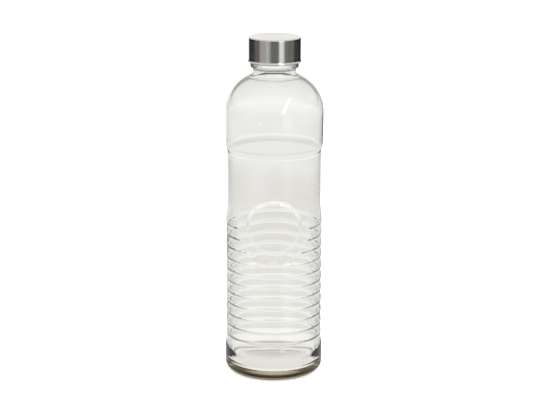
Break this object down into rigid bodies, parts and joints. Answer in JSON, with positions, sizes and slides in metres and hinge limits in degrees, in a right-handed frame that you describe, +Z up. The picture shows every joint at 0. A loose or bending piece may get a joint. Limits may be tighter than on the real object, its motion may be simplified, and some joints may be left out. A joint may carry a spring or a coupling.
{
  "type": "glass water bottle",
  "caption": "Tall round clear glass water bottle with a domed shoulder, ribbed lower body, blank round medallion and a brushed steel screw cap.",
  "frame": {"origin": "the middle of the ring that the bottle stands on", "axes": "+Z up along the bottle's axis, the medallion faces -Y, +X to the right as seen from the medallion side"},
  "size_m": [0.082, 0.082, 0.286],
  "materials": {
    "glass": "clear flint glass with a faint grey-green tint, moulded and fire polished",
    "steel": "spun stainless, brushed around the axis",
    "insert_plastic": "natural white moulded polypropylene",
    "liner_silicone": "soft translucent white silicone"
  },
  "bodies": {
    "bottle": {"glass_bottle": "glass"},
    "liner": {"cap_liner": "liner_silicone"},
    "cap": {"cap_shell": "steel", "cap_insert": "insert_plastic"}
  },
  "joints": [
    {"name": "cap_lift", "type": "slide", "parent": "bottle", "child": "liner", "axis": [0, 0, 1], "range_m": [0, 0.0211]},
    {"name": "cap_turn", "type": "hinge", "parent": "liner", "child": "cap", "pos_m": [0, 0, 0.27], "axis": [0, 0, 1], "range_deg": [0, 1800]}
  ],
  "couplings": [
    {"joint": "cap_lift", "follows": "cap_turn", "m_per_rad": 0.00066845}
  ]
}
